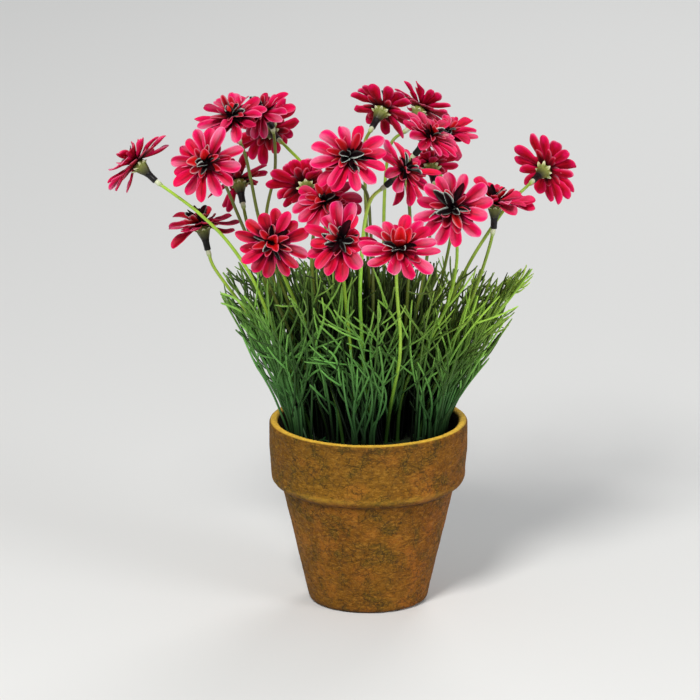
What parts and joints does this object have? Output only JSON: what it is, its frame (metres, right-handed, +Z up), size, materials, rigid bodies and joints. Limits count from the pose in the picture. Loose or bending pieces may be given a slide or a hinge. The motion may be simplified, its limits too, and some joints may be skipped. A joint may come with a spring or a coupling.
{
  "type": "potted star daisy",
  "caption": "Potted star daisy: magenta double daisies with dark frosted centres on green stems over fine forked foliage, in a tapered terracotta-coloured pot.",
  "frame": {"origin": "centre of the pot's underside, on the surface it stands on", "axes": "+Z up along the pot's axis, -Y towards the side shown in front, +X to its right"},
  "size_m": [0.2394, 0.1781, 0.2718],
  "materials": {
    "clay_pot": "unglazed, ochre to rust brown, mottled, fine crackle and scuffs, paler rim",
    "planting_filler": "dark green-black, rough, mossy",
    "stem_plastic": "satin yellow-green plastic over wire, black sockets and pale joints under the flowers",
    "petal_fabric": "die-cut woven fabric, magenta with paler raised edges, red towards the base, black inner petals with frosted pale edges",
    "foliage_plastic": "satin mid to dark green threads, lighter at the tips"
  },
  "bodies": {
    "root": {"pot": "clay_pot", "planting_filler": "planting_filler", "flower_stem_01": "stem_plastic", "flower_stem_02": "stem_plastic", "flower_stem_03": "stem_plastic", "flower_stem_04": "stem_plastic", "flower_stem_05": "stem_plastic", "flower_stem_06": "stem_plastic", "flower_stem_07": "stem_plastic", "flower_stem_08": "stem_plastic", "flower_stem_09": "stem_plastic", "flower_stem_10": "stem_plastic", "flower_stem_11": "stem_plastic", "flower_stem_12": "stem_plastic", "flower_stem_13": "stem_plastic", "flower_stem_14": "stem_plastic", "flower_stem_15": "stem_plastic", "flower_stem_16": "stem_plastic", "flower_stem_17": "stem_plastic", "flower_stem_18": "stem_plastic", "flower_stem_19": "stem_plastic", "flower_stem_20": "stem_plastic", "flower_stem_21": "stem_plastic", "flower_stem_22": "stem_plastic", "flower_head_01": "petal_fabric", "flower_head_02": "petal_fabric", "flower_head_03": "petal_fabric", "flower_head_04": "petal_fabric", "flower_head_05": "petal_fabric", "flower_head_06": "petal_fabric", "flower_head_07": "petal_fabric", "flower_head_08": "petal_fabric", "flower_head_09": "petal_fabric", "flower_head_10": "petal_fabric", "flower_head_11": "petal_fabric", "flower_head_12": "petal_fabric", "flower_head_13": "petal_fabric", "flower_head_14": "petal_fabric", "flower_head_15": "petal_fabric", "flower_head_16": "petal_fabric", "flower_head_17": "petal_fabric", "flower_head_18": "petal_fabric", "flower_head_19": "petal_fabric", "flower_head_20": "petal_fabric", "flower_head_21": "petal_fabric", "flower_head_22": "petal_fabric", "foliage_spray_01": "foliage_plastic", "foliage_spray_02": "foliage_plastic", "foliage_spray_03": "foliage_plastic", "foliage_spray_04": "foliage_plastic", "foliage_spray_05": "foliage_plastic", "foliage_spray_06": "foliage_plastic", "foliage_spray_07": "foliage_plastic", "foliage_spray_08": "foliage_plastic", "foliage_spray_09": "foliage_plastic", "foliage_spray_10": "foliage_plastic", "foliage_spray_11": "foliage_plastic", "foliage_spray_12": "foliage_plastic", "foliage_spray_13": "foliage_plastic"}
  },
  "joints": []
}
